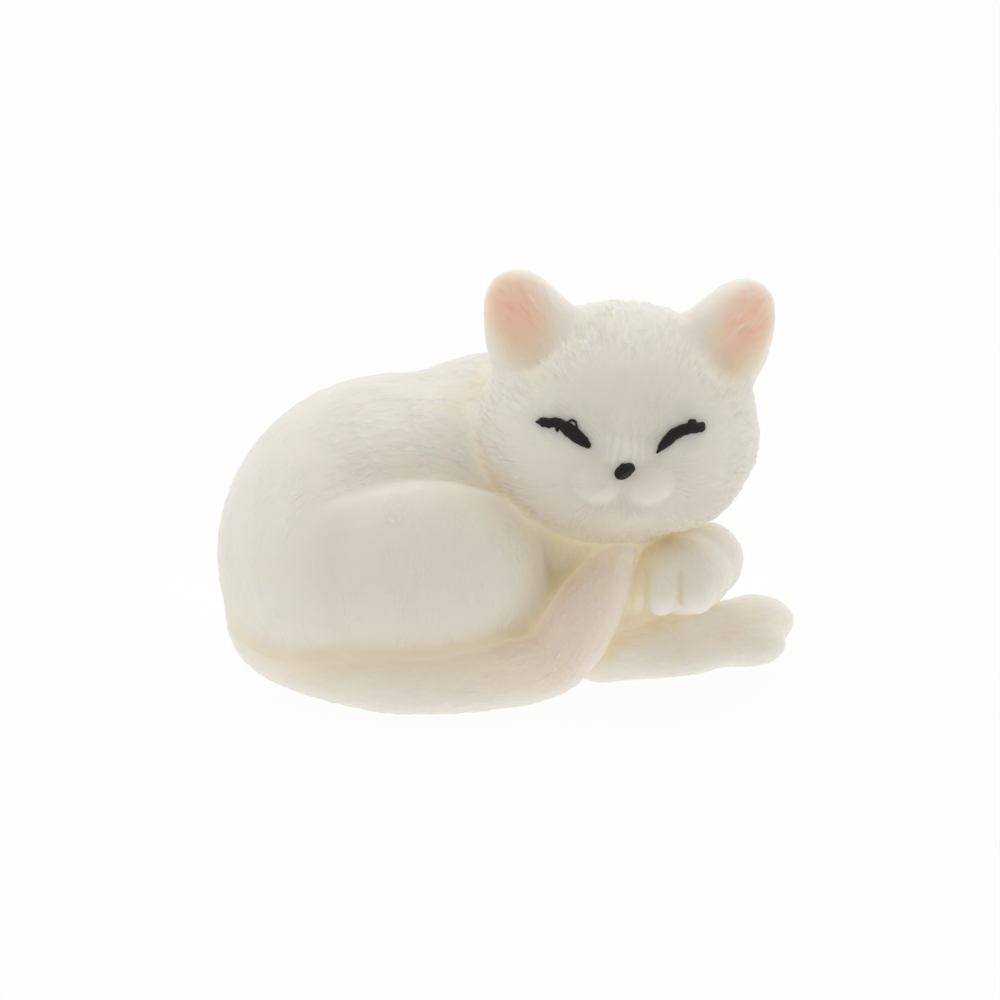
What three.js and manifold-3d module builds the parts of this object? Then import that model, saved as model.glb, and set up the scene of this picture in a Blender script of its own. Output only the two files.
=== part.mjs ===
// A small ornament: a white kitten curled up asleep, cast in milky resin and painted by hand.
// Units are millimetres. +Z is up, -Y is the side that the face looks at, +X is the paws' end.
// The origin lies on the flat underside, below the middle of the torso. Each casting lies one
// fine seam away from its neighbours, and hidden pegs hold the large ones together.

import * as THREE from 'three';
import { mergeVertices } from 'three/addons/utils/BufferGeometryUtils.js';
import Module from 'manifold-3d';

const wasm = await Module();
wasm.setup();

// Seams and pegs
const seam = 0.3; // between two castings
const paintSeam = 0.12; // between a painted line and the groove that it fills
const pegRadius = 1.4;
const pegReach = 3; // how far a peg goes into the casting on either side of the seam

// Torso: the rump and the flank, one egg that the floor cuts flat
const torsoRise = 9;
const torsoLength = 31.6;
const torsoDepth = 27.6;
const torsoHeight = 31.8;

// Haunch: the folded thigh, let into the front of the torso
const haunchShift = 1.2;
const haunchRise = 10.5;
const haunchLength = 23;
const haunchDepth = 17;
const haunchHeight = 19.8;
const haunchProud = 2; // how far it stands forward of the torso
const rumpSoftness = 5; // size of the torso's fillet round the haunch, at the rump
const kneeSoftness = 0.9; // and at the knee

// Chest, shoulders and neck: one casting that carries the head and both front legs
const chestShift = 15.2;
const chestBack = 3;
const chestRise = 11;
const chestLength = 21;
const chestDepth = 19;
const chestHeight = 24;
const neckShift = 8.4;
const neckBack = 2;
const neckRise = 18;
const neckLength = 19;
const neckDepth = 15;
const neckHeight = 17;
const neckSoftness = 4; // size of the fillet between neck and shoulders
const chestSoftness = 2.4; // size of the torso's fillet round them
const filletReach = 2; // how far the torso's fillets may stand off its egg

// Head, measured from the middle of the chest
const headAhead = 3.6;
const headForward = 8.6;
const headLift = 12.5;
const headWidth = 22.6;
const headDepth = 18.4;
const headHeight = 19.8;
const headTurn = 2;
const headRoll = 3.2;
const cheekWidth = 22.4;
const cheekDepth = 14.6;
const cheekHeight = 14.6;
const cheekDrop = 2;
const cheekShift = 0.3; // the face lies over to its left
const cheekForward = 0.4;
const jowlShift = 5; // a tuft under the cheek on the paws' side
const jowlForward = 1.5;
const jowlDrop = 5.2;
const jowlWidth = 9.4;
const jowlDepth = 9;
const jowlHeight = 7.2;
const muzzleSpread = 2;
const muzzleWidth = 4.6;
const muzzleHeight = 3.6;
const muzzleProud = 1.1;
const muzzleDrop = 3.3;
const bridgeWidth = 3.2;
const bridgeHeight = 7;
const bridgeProud = 0.5;
const faceSoftness = 1.4; // size of the fillets in the face

// Ears: broad leaves with a round tip, hollowed a little at the front
const earRootSize = 8.6;
const earRootThickness = 4.8;
const earTipSize = 4.6;
const earTipThickness = 3;
const earReach = 4.2; // from the middle of the root to the middle of the tip
const earSpread = 7.7;
const earShift = 0.35; // the ears sit over to the same side
const earLift = 6.6;
const earForward = 0.3;
const earSplay = 27;
const earTurn = 12;
const earSoftness = 3; // size of the fillet between root and tip
const earCupWidth = 5.2;
const earCupHeight = 8;
const earCupDepth = 0.9;

// Painted features: the closed eyes and the nose, laid on thick
const eyeLength = 4.6;
const eyeWidth = 1.3;
const eyeProud = 0.32;
const eyeSpread = 5;
const eyeLift = 1.2;
const eyeSlant = 22;
const eyeBow = 0.85;
const noseWidth = 1.7;
const noseHeight = 1.9;
const noseProud = 0.5;
const noseDrop = 1.6;
const noseTilt = 20; // how far its top leans back
const noseRoll = 30; // and its top turns to the left of the face

// Tail: a round brush that lies round the body and stands up against the chest
const tailRise = 2.4;
const tailRootRise = 4.2;
const tailRootRadius = 3.6;
const tailRadius = 2.75;
const tailTipRadius = 1.1;
const tailTuckSide = 3.6; // how far its line runs inside the torso's outline, at the side
const tailTuckFront = 0.1; // and at the front
const tailShortcut = 1.25; // above 1 the line cuts the corner from side to front
const tailRootAngle = 130;
const tailRootInset = 0.3; // share of the way inwards at which the root starts
const tailShift = 2.2; // from the middle of the torso to the middle of the tail's front
const tailFrontRun = 10.2; // from there to the foot of the standing end
const tailFootBack = 1.4;
const tailFootRise = 3.2;
const tailTipBelow = 1.6; // below the chin
const tailTipProud = 2.2; // forward of the chest
const tailRunPower = 0.76; // below 1 the standing end gains its run early, above 1 late
const tailRisePower = 1.24;
const tailThinPower = 1.6;
const tailPegStation = 2; // of the stations along the ring, counted from the root

// Front legs: one reaches along the floor, the other lies folded on it
const armRadius = 3.3;
const armRise = 2.8;
const armStart = 2.6;
const armForward = 9.2;
const armReach = 13;
const armSweep = 4.2;
const toeRadius = 2;
const toeLength = 6.6;
const toeSplit = 1.5; // half the distance between the two toes
const toeLift = 0.1; // how much higher the back toe and lower the front toe lie
const fringeLength = 12;
const fringeDepth = 6;
const fringeHeight = 4;
const fringeProud = 0.8; // how far the fur under the leg stands forward of it
const pawShift = 9.4;
const pawForward = 9.2;
const pawLift = 0.2; // clearance over the lower leg
const pawWidth = 8.1;
const pawDepth = 7.6;
const pawHeight = 6.4;
const pawToeWidth = 3;
const pawToeHeight = 3.8;
const pawToeStep = 2.2;
const elbowSize = 6.6;
const elbowBack = 3;
const toeSoftness = 0.8; // size of the fillets between the toes
const wristTaper = 0.8;

// How finely a casting is faceted: the steps along each edge of the ball that it is wrapped from
const fineSteps = 10;
const middlingSteps = 6;
const coarseSteps = 5;
const plainSteps = 4;
const tinySteps = 2;

// The block below the floor, which cuts every casting flat
const floorSize = 200;

const degrees = THREE.MathUtils.degToRad;
const vector = (x, y, z) => new THREE.Vector3(x, y, z);
const middle = vector(0, 0, 0);

// A pose at a place, turned by angles about X, Y and Z.
function pose(place, turn = [0, 0, 0]) {
  const rotation = new THREE.Euler(...turn.map(degrees));
  return new THREE.Matrix4().makeRotationFromEuler(rotation).setPosition(place);
}

// Shapes are fields: below zero inside, zero on the skin, and about the distance outside it.

// An egg of the given size about a centre.
function lobe(centre, size) {
  const half = size.clone().divideScalar(2);
  const spot = vector(0, 0, 0);
  return (point) => {
    spot.copy(point).sub(centre).divide(half);
    const outward = spot.length();
    const steepness = spot.divide(half).length();
    return steepness === 0 ? -half.x : (outward * (outward - 1)) / steepness;
  };
}

// A straight tapered limb with round ends.
function limb(from, to, fromRadius, toRadius) {
  const line = new THREE.Line3(from, to);
  const nearest = vector(0, 0, 0);
  return (point) => {
    const along = line.closestPointToPointParameter(point, true);
    line.at(along, nearest);
    return nearest.distanceTo(point) - THREE.MathUtils.lerp(fromRadius, toRadius, along);
  };
}

// Fields joined with a soft fillet.
function blend(softness, ...fields) {
  return (point) => fields.map((field) => field(point)).reduce((a, b) => {
    const overlap = Math.max(softness - Math.abs(a - b), 0) / softness;
    return Math.min(a, b) - overlap * overlap * softness / 4;
  });
}

// Where a ray from a start inside the field reaches the height asked for.
function skinAlong(field, start, ray, height) {
  const spot = vector(0, 0, 0);
  let inside = 0;
  let outside = 2;
  for (let halving = 0; halving < 26; halving++) {
    const share = (inside + outside) / 2;
    spot.copy(start).addScaledVector(ray, share);
    if (field(spot) < height) inside = share;
    else outside = share;
  }
  return spot;
}

// A copy of a geometry whose faces share their corners
function shared(geometry) {
  const bare = geometry.index ? geometry.toNonIndexed() : geometry.clone();
  bare.deleteAttribute('normal');
  bare.deleteAttribute('uv');
  return mergeVertices(bare, 1e-5);
}

function solidFrom(geometry) {
  const merged = shared(geometry);
  const corners = merged.index.array;
  const triVerts = [];
  for (let i = 0; i < corners.length; i += 3) {
    const [a, b, c] = corners.slice(i, i + 3);
    if (a !== b && b !== c && c !== a) triVerts.push(a, b, c);
  }
  return new wasm.Manifold(new wasm.Mesh({
    numProp: 3,
    vertProperties: merged.attributes.position.array,
    triVerts: new Uint32Array(triVerts),
  }));
}

function geometryFrom(solid) {
  const mesh = solid.getMesh();
  const geometry = new THREE.BufferGeometry();
  geometry.setAttribute('position', new THREE.BufferAttribute(mesh.vertProperties, 3));
  geometry.setIndex(new THREE.BufferAttribute(mesh.triVerts, 1));
  const flat = geometry.toNonIndexed();
  flat.computeVertexNormals();
  return flat;
}

// Wraps a faceted ball round a field that is written in the frame of a pose. The reach aims
// the ball's corners, so that a long shape gets them where it is long.
function wrap(field, frame, reach, detail, grow) {
  const ball = shared(new THREE.IcosahedronGeometry(1, detail));
  const corners = ball.attributes.position;
  const ray = vector(0, 0, 0);
  for (let i = 0; i < corners.count; i++) {
    ray.fromBufferAttribute(corners, i).multiply(reach);
    corners.setXYZ(i, ...skinAlong(field, middle, ray, grow));
  }
  return solidFrom(ball.applyMatrix4(frame));
}

// A brush stroke: a round-ended tube along stations of { place, radius }, pressed to a share of
// its thickness along up.
function stroke(stations, rings, sides, grow, up = vector(0, 0, 1), press = 1) {
  const spine = new THREE.CatmullRomCurve3(stations.map((station) => station.place));
  const last = stations.length - 1;
  const radiusAt = (share) => {
    const first = Math.min(Math.floor(share * last), last - 1);
    const onward = share * last - first;
    return THREE.MathUtils.lerp(stations[first].radius, stations[first + 1].radius, onward);
  };
  const capRings = 3;
  const rows = [];
  for (let ring = -capRings; ring <= rings + capRings; ring++) {
    const share = THREE.MathUtils.clamp(ring / rings, 0, 1);
    const past = Math.max(-ring, ring - rings, 0) / capRings * Math.PI / 2;
    const radius = radiusAt(share) + grow;
    const tangent = spine.getTangent(share);
    const centre = spine.getPoint(share);
    centre.addScaledVector(tangent, Math.sign(ring) * radius * Math.sin(past) * press);
    rows.push({ centre, tangent, radius: radius * Math.cos(past) });
  }
  const profile = rows.map((row, index) => {
    const atEnd = index === 0 || index === rows.length - 1;
    return new THREE.Vector2(atEnd ? 0 : row.radius, index);
  });
  const tube = shared(new THREE.LatheGeometry(profile, sides));
  const corners = tube.attributes.position;
  for (let i = 0; i < corners.count; i++) {
    const row = rows[Math.round(corners.getY(i))];
    const across = vector(0, 0, 0).crossVectors(row.tangent, up).normalize();
    const over = vector(0, 0, 0).crossVectors(across, row.tangent);
    const spot = row.centre.clone();
    spot.addScaledVector(across, corners.getX(i));
    spot.addScaledVector(over, corners.getZ(i) * press);
    corners.setXYZ(i, ...spot);
  }
  return solidFrom(tube);
}

// Torso, haunch and chest

const torsoCentre = vector(0, 0, torsoRise);
const torsoSize = vector(torsoLength, torsoDepth, torsoHeight);
const torsoFront = -torsoDepth / 2;

const haunchSize = vector(haunchLength, haunchDepth, haunchHeight);
const haunchCentre = vector(haunchShift, torsoFront - haunchProud + haunchDepth / 2, haunchRise);
const haunchShape = (grow) => wrap(
  lobe(middle, haunchSize),
  pose(haunchCentre),
  haunchSize,
  coarseSteps,
  grow,
);

const chestSize = vector(chestLength, chestDepth, chestHeight);
const chestCentre = vector(chestShift, chestBack, chestRise);
const neckSize = vector(neckLength, neckDepth, neckHeight);
const neckCentre = vector(neckShift, neckBack, neckRise);
const neckOffset = neckCentre.clone().sub(chestCentre);

const chestField = blend(neckSoftness, lobe(middle, chestSize), lobe(neckOffset, neckSize));
const chestShape = (grow) => wrap(chestField, pose(chestCentre), chestSize, middlingSteps, grow);

// The torso rises in a fillet round the haunch, soft at the rump and tight at the knee, and round
// the chest.
function makeTorsoField() {
  const torso = lobe(middle, torsoSize);
  const haunchPlace = haunchCentre.clone().sub(torsoCentre);
  const haunch = lobe(haunchPlace, haunchSize);
  const chestPlace = chestCentre.clone().sub(torsoCentre);
  const spot = vector(0, 0, 0);
  const chest = (point) => chestField(spot.copy(point).sub(chestPlace));
  return (point) => {
    const kneeward = (point.x - haunchPlace.x) / haunchLength;
    const softness = THREE.MathUtils.lerp(
      rumpSoftness,
      kneeSoftness,
      THREE.MathUtils.smoothstep(kneeward, -0.5, 0.2),
    );
    const skin = blend(chestSoftness, blend(softness, torso, haunch), chest)(point);
    return Math.max(skin, torso(point) - filletReach);
  };
}
const torsoField = makeTorsoField();
const torsoShape = (grow) => wrap(torsoField, pose(torsoCentre), torsoSize, middlingSteps, grow);

// Head, in its own frame: the face looks along -Y

const headCentre = chestCentre.clone().add(vector(headAhead, -headForward, headLift));
const headSize = vector(headWidth, headDepth, headHeight);
const headPose = pose(headCentre, [0, headRoll, headTurn]);
const faceFront = -headDepth / 2;

function makeHeadField() {
  const padSize = vector(muzzleWidth, muzzleWidth, muzzleHeight);
  const padY = faceFront + muzzleWidth / 2 - muzzleProud;
  const pads = [-1, 1].map((side) => lobe(vector(side * muzzleSpread, padY, -muzzleDrop), padSize));
  const bridgeSize = vector(bridgeWidth, bridgeWidth * 2, bridgeHeight);
  const bridge = lobe(vector(0, faceFront + bridgeWidth - bridgeProud, 0), bridgeSize);
  const cheekSize = vector(cheekWidth, cheekDepth, cheekHeight);
  const cheeks = lobe(vector(cheekShift, -cheekForward, -cheekDrop), cheekSize);
  const jowlSize = vector(jowlWidth, jowlDepth, jowlHeight);
  const jowl = lobe(vector(jowlShift, -jowlForward, -jowlDrop), jowlSize);
  const skull = blend(faceSoftness * 2, lobe(middle, headSize), cheeks);
  return blend(faceSoftness, skull, jowl, ...pads, bridge);
}
const headField = makeHeadField();
const headShape = (grow) => wrap(headField, headPose, headSize, fineSteps, grow);

const earPose = (side) => headPose.clone().multiply(
  pose(vector(earShift + side * earSpread, -earForward, earLift), [0, side * earSplay, side * earTurn]),
);

function earShape(side, grow) {
  const rootSize = vector(earRootSize, earRootThickness, earRootSize);
  const tip = lobe(vector(0, 0, earReach), vector(earTipSize, earTipThickness, earTipSize));
  const leafField = blend(earSoftness, lobe(middle, rootSize), tip);
  const leaf = wrap(leafField, earPose(side), rootSize, plainSteps, grow);
  const cupSize = vector(earCupWidth, earCupDepth * 2, earCupHeight);
  const cupPose = pose(vector(0, -earRootThickness / 2, earReach / 2));
  const cup = wrap(lobe(middle, cupSize), earPose(side).multiply(cupPose), cupSize, tinySteps, -grow);
  return leaf.subtract(cup);
}

// A point of the face's skin, across and up from the middle of the head
function onFace(across, up) {
  const ahead = vector(0, -headDepth, 0);
  return skinAlong(headField, vector(across, 0, up), ahead, 0).applyMatrix4(headPose);
}

function eyeShape(side, grow) {
  const slant = degrees(eyeSlant);
  const steps = 6;
  const stations = [];
  for (let step = 0; step <= steps; step++) {
    const share = 2 * step / steps - 1;
    const along = share * eyeLength / 2;
    const bow = eyeBow * (1 - share * share);
    const across = along * Math.cos(slant) - bow * Math.sin(slant);
    const up = along * Math.sin(slant) + bow * Math.cos(slant) - eyeBow / 2;
    const taper = 1 - 0.4 * share * share;
    stations.push({
      place: onFace(side * (eyeSpread + across), eyeLift + up),
      radius: taper * eyeWidth / 2,
    });
  }
  return stroke(stations, 8, 8, grow, vector(0, -1, 0), eyeProud * 2 / eyeWidth);
}

function noseShape(grow) {
  const size = vector(noseWidth, noseProud * 2, noseHeight);
  const place = pose(onFace(0, -noseDrop), [-noseTilt, noseRoll, 0]);
  return wrap(lobe(middle, size), place, size, tinySteps, grow);
}

// Front legs

const armFrom = chestCentre.clone().setZ(armRise).add(vector(armStart, -armForward, 0));
const armTo = armFrom.clone().add(vector(armReach, armSweep, 0));

function armShape(grow) {
  const half = armTo.clone().sub(armFrom).divideScalar(2);
  const toeSize = vector(toeLength, toeRadius * 2, toeRadius * 2);
  const toes = [-1, 1].map((step) => {
    const offset = vector(step * toeSplit / 4, step * toeSplit, step * toeLift);
    return lobe(half.clone().add(offset), toeSize);
  });
  const fringe = lobe(
    vector(-toeSplit, fringeDepth / 2 - armRadius - fringeProud, fringeHeight / 2 - armRise),
    vector(fringeLength, fringeDepth, fringeHeight),
  );
  const leg = limb(half.clone().negate(), half, armRadius, armRadius * wristTaper);
  const reach = vector(armReach, armRadius * 3, armRadius * 2);
  const field = blend(toeSoftness, leg, fringe, ...toes);
  return wrap(field, pose(armFrom.clone().add(half)), reach, coarseSteps, grow);
}

const pawCentre = vector(
  chestCentre.x + pawShift,
  chestCentre.y - pawForward,
  armRise + armRadius + pawLift + pawHeight / 2,
);

function pawShape(grow) {
  const toeSize = vector(pawToeWidth, pawToeWidth * 1.2, pawToeHeight);
  const toes = [-1, 0, 1].map((step) => lobe(
    vector(
      step * pawToeStep - pawToeStep / 2,
      -pawDepth / 3 + step * step * pawToeWidth / 8,
      -pawHeight / 7 + step * step * pawToeHeight / 12,
    ),
    toeSize,
  ));
  const elbowPlace = vector(pawWidth / 2 - elbowSize / 3, elbowBack, pawLift);
  const elbow = lobe(elbowPlace, vector(elbowSize, elbowSize, elbowSize));
  const toChest = chestCentre.clone().setZ(pawCentre.z).sub(pawCentre).divideScalar(2);
  const forearm = limb(middle, toChest, pawHeight / 2, pawHeight / 3);
  const palm = lobe(middle, vector(pawWidth, pawDepth, pawHeight));
  const reach = vector(pawWidth, pawDepth * 1.5, pawHeight);
  return wrap(blend(toeSoftness, palm, elbow, forearm, ...toes), pose(pawCentre), reach, coarseSteps, grow);
}

const cornered = (value) => Math.sign(value) * Math.abs(value) ** tailShortcut;

// The tail's line, from inside the rump round the left side and the front to its tip at the chest
function tailStations() {
  const stations = [];
  const ringX = torsoLength / 2 - tailTuckSide + tailShift;
  const ringY = torsoDepth / 2 - tailTuckFront;
  const ringSteps = 7;
  for (let step = 0; step <= ringSteps; step++) {
    const share = step / ringSteps;
    const angle = degrees(THREE.MathUtils.lerp(tailRootAngle, 270, share));
    const swell = 1 - THREE.MathUtils.smoothstep(share, 0.1, 0.6);
    const out = 1 - tailRootInset * swell * swell;
    stations.push({
      place: vector(
        tailShift + out * ringX * cornered(Math.cos(angle)),
        out * ringY * cornered(Math.sin(angle)),
        THREE.MathUtils.lerp(tailRise, tailRootRise, swell),
      ),
      radius: THREE.MathUtils.lerp(tailRadius, tailRootRadius, swell),
    });
  }
  const foot = vector(tailShift + tailFrontRun, tailFootBack - ringY, tailFootRise);
  const front = stations[ringSteps].place;
  const bend = front.clone().lerp(foot, 0.55);
  bend.y = THREE.MathUtils.lerp(front.y, foot.y, 0.2);
  bend.z = THREE.MathUtils.lerp(front.z, foot.z, 0.3);
  stations.push({ place: bend, radius: tailRadius }, { place: foot, radius: tailRadius });
  const tip = vector(
    headCentre.x,
    chestCentre.y - chestDepth / 2 - tailTipProud,
    headCentre.z - headHeight / 2 - tailTipBelow,
  );
  const standSteps = 4;
  for (let step = 1; step <= standSteps; step++) {
    const share = step / standSteps;
    stations.push({
      place: vector(
        THREE.MathUtils.lerp(foot.x, tip.x, share ** tailRunPower),
        THREE.MathUtils.lerp(foot.y, tip.y, share),
        THREE.MathUtils.lerp(foot.z, tip.z, share ** tailRisePower),
      ),
      radius: THREE.MathUtils.lerp(tailRadius, tailTipRadius, share ** tailThinPower),
    });
  }
  return stations;
}
const tailShape = (grow) => stroke(tailStations(), 28, 12, grow);

// Materials

const resin = new THREE.MeshStandardMaterial({ color: 0xe9e4d6, roughness: 0.45, metalness: 0 });
const blush = new THREE.MeshStandardMaterial({ color: 0xecc3b0, roughness: 0.5, metalness: 0 });
const enamel = new THREE.MeshStandardMaterial({ color: 0x1b1514, roughness: 0.25, metalness: 0 });

// Assembly. Each casting keeps its whole shape where it meets the ones further down the list,
// which are cut to clear it.

const castings = [
  { name: 'ear_left', shape: (grow) => earShape(-1, grow), material: blush, place: headCentre },
  { name: 'ear_right', shape: (grow) => earShape(1, grow), material: blush, place: headCentre },
  { name: 'eye_left', shape: (grow) => eyeShape(-1, grow), material: enamel, place: headCentre },
  { name: 'eye_right', shape: (grow) => eyeShape(1, grow), material: enamel, place: headCentre },
  { name: 'nose', shape: noseShape, material: enamel, place: headCentre },
  { name: 'tail', shape: tailShape, material: resin, place: middle },
  { name: 'forepaw_upper', shape: pawShape, material: resin, place: pawCentre },
  { name: 'foreleg_lower', shape: armShape, material: resin, place: armFrom },
  { name: 'head', shape: headShape, material: resin, place: headCentre },
  { name: 'haunch', shape: haunchShape, material: resin, place: haunchCentre },
  { name: 'chest', shape: chestShape, material: resin, place: chestCentre },
  { name: 'torso', shape: torsoShape, material: resin, place: torsoCentre },
];

// Pegs are part of the casting that holds them, and the other one has the socket. Each crosses
// the seam at a distance along the line from one place to another.
const tailSide = tailStations()[tailPegStation].place;
const pegs = [
  { holder: 'head', other: 'chest', from: headCentre, to: neckCentre, at: headDepth / 2 },
  { holder: 'haunch', other: 'torso', from: haunchCentre, to: torsoCentre, at: haunchDepth / 2 },
  {
    holder: 'tail',
    other: 'torso',
    from: tailSide,
    to: torsoCentre.clone().setZ(tailSide.z),
    at: tailRadius,
  },
  {
    holder: 'chest',
    other: 'torso',
    from: neckCentre,
    to: neckCentre.clone().setX(torsoCentre.x),
    at: neckLength / 2,
  },
];

function pegShape({ from, to, at }, grow) {
  const aim = to.clone().sub(from).normalize();
  const radius = pegRadius + grow;
  const rod = new THREE.CylinderGeometry(radius, radius, 2 * (pegReach + grow), 12);
  rod.applyQuaternion(new THREE.Quaternion().setFromUnitVectors(vector(0, 1, 0), aim));
  rod.translate(...from.clone().addScaledVector(aim, at));
  return solidFrom(rod);
}

const floorBox = new THREE.BoxGeometry(floorSize, floorSize, floorSize);
const floorBlock = solidFrom(floorBox.translate(0, 0, -floorSize / 2));
const figure = new THREE.Group();
figure.name = 'curled_kitten';

castings.forEach(({ name, shape, material, place }, rank) => {
  let solid = shape(0).subtract(floorBlock);
  for (const above of castings.slice(0, rank)) {
    solid = solid.subtract(above.shape(above.material === enamel ? paintSeam : seam));
  }
  for (const peg of pegs) {
    if (peg.holder === name) solid = solid.add(pegShape(peg, 0));
    if (peg.other === name) solid = solid.subtract(pegShape(peg, seam));
  }
  const mesh = new THREE.Mesh(geometryFrom(solid).translate(...place.clone().negate()), material);
  mesh.name = name;
  mesh.position.copy(place);
  figure.add(mesh);
});

export default figure;
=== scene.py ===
# A sleeping kitten, cast in milky resin and painted by hand. Fields give every casting its form,
# the fur is cut into the skin afterwards, and the paint lies on top, with painted shade in the
# creases and a painted highlight on the fine hairs. Lengths are millimetres until a mesh is made.
import itertools
import math

import bpy
import numpy as np
from mathutils import Matrix, Vector
from mathutils.kdtree import KDTree


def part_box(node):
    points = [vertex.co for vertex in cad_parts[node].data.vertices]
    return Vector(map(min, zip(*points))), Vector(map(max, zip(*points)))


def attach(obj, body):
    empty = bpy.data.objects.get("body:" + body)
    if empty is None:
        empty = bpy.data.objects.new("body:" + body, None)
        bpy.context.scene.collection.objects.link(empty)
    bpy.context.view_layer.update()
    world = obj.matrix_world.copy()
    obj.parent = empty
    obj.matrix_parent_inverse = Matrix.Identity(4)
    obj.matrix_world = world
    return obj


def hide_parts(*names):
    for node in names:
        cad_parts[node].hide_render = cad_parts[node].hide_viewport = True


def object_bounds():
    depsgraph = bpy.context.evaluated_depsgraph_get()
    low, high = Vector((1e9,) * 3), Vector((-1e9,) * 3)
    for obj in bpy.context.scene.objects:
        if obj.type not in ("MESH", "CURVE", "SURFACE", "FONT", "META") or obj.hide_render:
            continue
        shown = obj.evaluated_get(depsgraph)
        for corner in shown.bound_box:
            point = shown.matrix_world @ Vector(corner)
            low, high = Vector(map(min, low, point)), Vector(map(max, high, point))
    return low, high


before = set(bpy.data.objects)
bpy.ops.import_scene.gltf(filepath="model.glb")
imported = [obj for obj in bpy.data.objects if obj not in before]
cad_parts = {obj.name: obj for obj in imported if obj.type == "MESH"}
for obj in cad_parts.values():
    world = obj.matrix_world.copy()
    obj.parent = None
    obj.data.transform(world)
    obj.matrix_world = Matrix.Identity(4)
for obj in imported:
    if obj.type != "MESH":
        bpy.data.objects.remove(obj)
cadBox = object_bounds()
print("frame loaded with", len(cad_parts), "nodes")

millimetre = 0.001
upward = np.array((0.0, 0.0, 1.0))


def nodeBox(name):
    low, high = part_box(name)
    return np.array(low) / millimetre, np.array(high) / millimetre


def seat(node, size, sides, shift=(0, 0, 0)):
    # the middle of a form of this size, set against the low (-1) or high (1) sides of its node's box
    low, high = nodeBox(node)
    half = np.array(size) / 2
    places = {-1: low + half, 0: (low + high) / 2, 1: high - half}
    return np.array([places[side][axis] for axis, side in enumerate(sides)]) + shift


def turned(x=0, y=0, z=0):
    turn = Matrix.Identity(3)
    for angle, axis in ((x, "X"), (y, "Y"), (z, "Z")):
        turn = turn @ Matrix.Rotation(math.radians(angle), 3, axis)
    return np.array(turn)


# Camera: a long lens at the height the piece was photographed from
camera = {"lens": 160, "sensor": 36, "lift": 20, "distance": 381.5, "aim": (-0.49, -1.25, -3.43)}


def makeCamera():
    data = bpy.data.cameras.new("camera")
    data.lens = camera["lens"]
    data.sensor_width = camera["sensor"]
    data.clip_start, data.clip_end = 0.01, 20
    view = bpy.data.objects.new("camera", data)
    bpy.context.collection.objects.link(view)
    lift = math.radians(camera["lift"])
    back = Vector((0, -math.cos(lift), math.sin(lift)))
    middle = (cadBox[0] + cadBox[1]) / 2 + Vector(camera["aim"]) * millimetre
    view.location = middle + back * camera["distance"] * millimetre
    view.rotation_euler = (math.radians(90 - camera["lift"]), 0, 0)
    bpy.context.scene.camera = view


makeCamera()


def lengthOf(arrows):
    return np.sqrt(np.einsum("ij,ij->i", arrows, arrows))


# Fields: below zero inside, zero on the skin, about the distance outside it
def egg(points, centre, size):
    half = np.array(size) / 2
    scaled = (points - centre) / half
    outward = lengthOf(scaled)
    steepness = lengthOf(scaled / half) + 1e-9
    return outward * (outward - 1) / steepness


def limb(points, start, end, startRadius, endRadius):
    start, end = np.array(start), np.array(end)
    axis = end - start
    along = np.clip((points - start) @ axis / (axis @ axis), 0, 1)
    away = points - start - along[:, None] * axis
    return lengthOf(away) - (startRadius + (endRadius - startRadius) * along)


def melt(first, second, softness):
    overlap = np.clip(softness - np.abs(first - second), 0, None) / softness
    return np.minimum(first, second) - overlap * overlap * softness / 4


def carve(form, hollow, softness):
    return -melt(-form, hollow, softness)


def easeIn(value, low, high):
    share = np.clip((value - low) / (high - low), 0, 1)
    return share * share * (3 - 2 * share)


# Torso, haunch, chest and neck, which are one skin
body = {
    "torsoSize": (31.6, 27.6, 31.8),
    "torsoRise": 9,
    "haunchSize": (23, 17, 19.8),
    "chestSize": (21, 19, 24),
    "chestBelow": 3.5,  # the chest's top below the neck's
    "neckSize": (19, 15, 17),
    "neckShift": (-6.8, -1, 0),  # from the chest to the neck, with the tops level
    "neckSoftness": 4,
    "fillingSoftness": 2,
    "haunchSoftness": (5, 0.45),  # of its fold, at the rump and at the knee
    "foldStart": (-0.9, -0.25),  # where the fold sharpens, from -1 at the rump to 1 at the knee
    "foldDepth": 0.7,  # of the groove above the haunch
    "foldSides": (0.7, 3.2),  # its steepness on the torso and on the haunch
    "chestSoftness": 1.8,
    "fillings": [
        ((-1.2, -5, -4.4), (11, 15, 15)),  # the bib between haunch and tail, from the chest's middle
        ((3.4, -6.8, -2.8), (8.4, 9.6, 13)),  # the lap beside the folded paw
        ((0.6, -6.9, 2.8), (13, 10, 9)),  # the throat under the chin
        ((-3.5, -11.2, -5.6), (7, 6.4, 8.4)),  # the nook where haunch, bib and tail meet
        ((-11.6, -6.5, 9.1), (6.6, 7.6, 9)),  # the fold of fur behind the cheek
    ],
    "furDepth": 0.12,
    "furShare": (0.45, 0.85),  # on the rump and near the head
    "haunchShare": 0.5,  # of that, on the haunch
    "coatTurn": (-0.4, 1.2),  # where the lie of the coat changes from the torso's to the haunch's
    # painted shade in warm yellow: in creases, in the valley by the tail, in the fold above the haunch
    # and on the chest
    "warmShade": {"crowd": 0.45, "valley": 0.35, "fold": 0.18, "chest": 0.7},
    "step": 0.46,
}
torsoCentre = seat("torso", body["torsoSize"], (-1, 1, 0))
torsoCentre[2] = body["torsoRise"]
haunchCentre = seat("haunch", body["haunchSize"], (0, -1, 1))
chestCentre = seat("chest", body["chestSize"], (1, 1, 1), (0, 0, -body["chestBelow"]))
neckTop = nodeBox("chest")[1][2]
neckCentre = chestCentre + body["neckShift"]
neckCentre[2] = neckTop - body["neckSize"][2] / 2


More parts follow.
